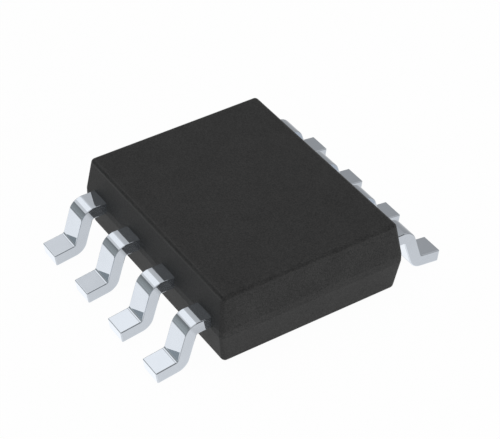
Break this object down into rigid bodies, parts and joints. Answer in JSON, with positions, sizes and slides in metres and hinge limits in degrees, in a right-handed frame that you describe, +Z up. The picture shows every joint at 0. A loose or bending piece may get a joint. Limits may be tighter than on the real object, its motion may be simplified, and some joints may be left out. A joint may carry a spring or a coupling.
{
  "type": "small-outline surface-mount chip",
  "caption": "Flat moulded chip with drafted sides and a row of gull-wing solder leads along each long side, with its leadframe, die and bond wires inside.",
  "frame": {"origin": "middle of the chip, on the seating plane under the toes of the leads", "axes": "+Z up, away from the board; +X across the two rows, towards the row of leads 5 to 8; +Y along the rows, towards leads 1 and 8"},
  "size_m": [0.0064, 0.005, 0.0016],
  "materials": {
    "mould_compound": "matte, very fine grain",
    "tinned_lead": "bright tin plate over copper alloy",
    "copper_frame": "satin copper alloy strip",
    "attach_paste": "silver-filled adhesive, satin",
    "silicon": "polished",
    "wire_gold": "bright drawn wire"
  },
  "bodies": {
    "root": {"mould_body": "mould_compound", "lead_1": "tinned_lead", "lead_2": "tinned_lead", "lead_3": "tinned_lead", "lead_4": "tinned_lead", "lead_5": "tinned_lead", "lead_6": "tinned_lead", "lead_7": "tinned_lead", "lead_8": "tinned_lead", "die_paddle": "copper_frame", "die_attach": "attach_paste", "silicon_die": "silicon", "bond_wire_1": "wire_gold", "bond_wire_2": "wire_gold", "bond_wire_3": "wire_gold", "bond_wire_4": "wire_gold", "bond_wire_5": "wire_gold", "bond_wire_6": "wire_gold", "bond_wire_7": "wire_gold", "bond_wire_8": "wire_gold"}
  },
  "joints": []
}
